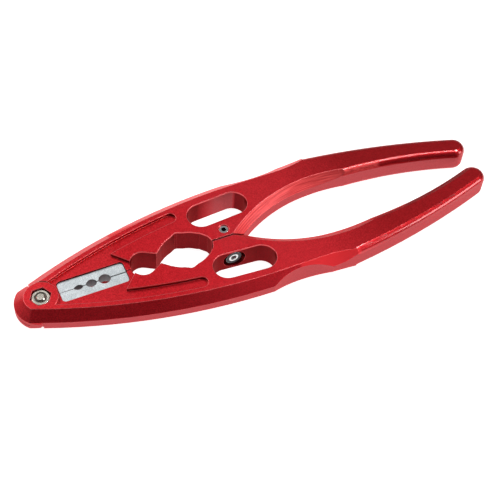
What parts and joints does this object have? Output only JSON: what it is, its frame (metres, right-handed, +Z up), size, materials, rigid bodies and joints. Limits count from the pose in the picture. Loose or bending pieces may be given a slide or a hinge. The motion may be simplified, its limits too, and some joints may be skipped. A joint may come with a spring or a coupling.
{
  "type": "clamping pliers",
  "caption": "Slim two-arm aluminium pliers pivoted at the nose, with steel jaw inserts for thin rods, two wider cap grips and bowed handles.",
  "frame": {"origin": "on the plane the tool lies on, under the middle of its outline", "axes": "+X from the pivot towards the handle ends, +Y across the jaws towards the arm with the grub screw, +Z up out of the face that carries the pivot nut"},
  "size_m": [0.167, 0.0452, 0.009],
  "materials": {
    "anodised_red": "bead-blasted and red anodised, brushed on the big chamfers",
    "insert_steel": "fine blasted pale steel",
    "screw_steel": "nickel-plated, satin",
    "lock_ring": "off-white nylon, dulled",
    "spring_steel": "drawn wire"
  },
  "bodies": {
    "near": {"near_arm": "anodised_red", "near_insert": "insert_steel", "near_insert_screws": "screw_steel", "pivot_bolt": "screw_steel", "pivot_nut": "screw_steel", "nut_lock_ring": "lock_ring", "friction_washer": "screw_steel", "opening_spring": "spring_steel"},
    "far": {"far_arm": "anodised_red", "far_insert": "insert_steel", "far_insert_screws": "screw_steel", "stop_screw": "screw_steel", "grub_screw": "screw_steel"}
  },
  "joints": [
    {"name": "jaw_hinge", "type": "hinge", "parent": "near", "child": "far", "pos_m": [-0.0749, 0, 0.0045], "axis": [0, 0, 1], "range_deg": [-0.3, 1.8], "stiffness_Nm_per_rad": 8.2, "deforming": ["opening_spring"]}
  ]
}
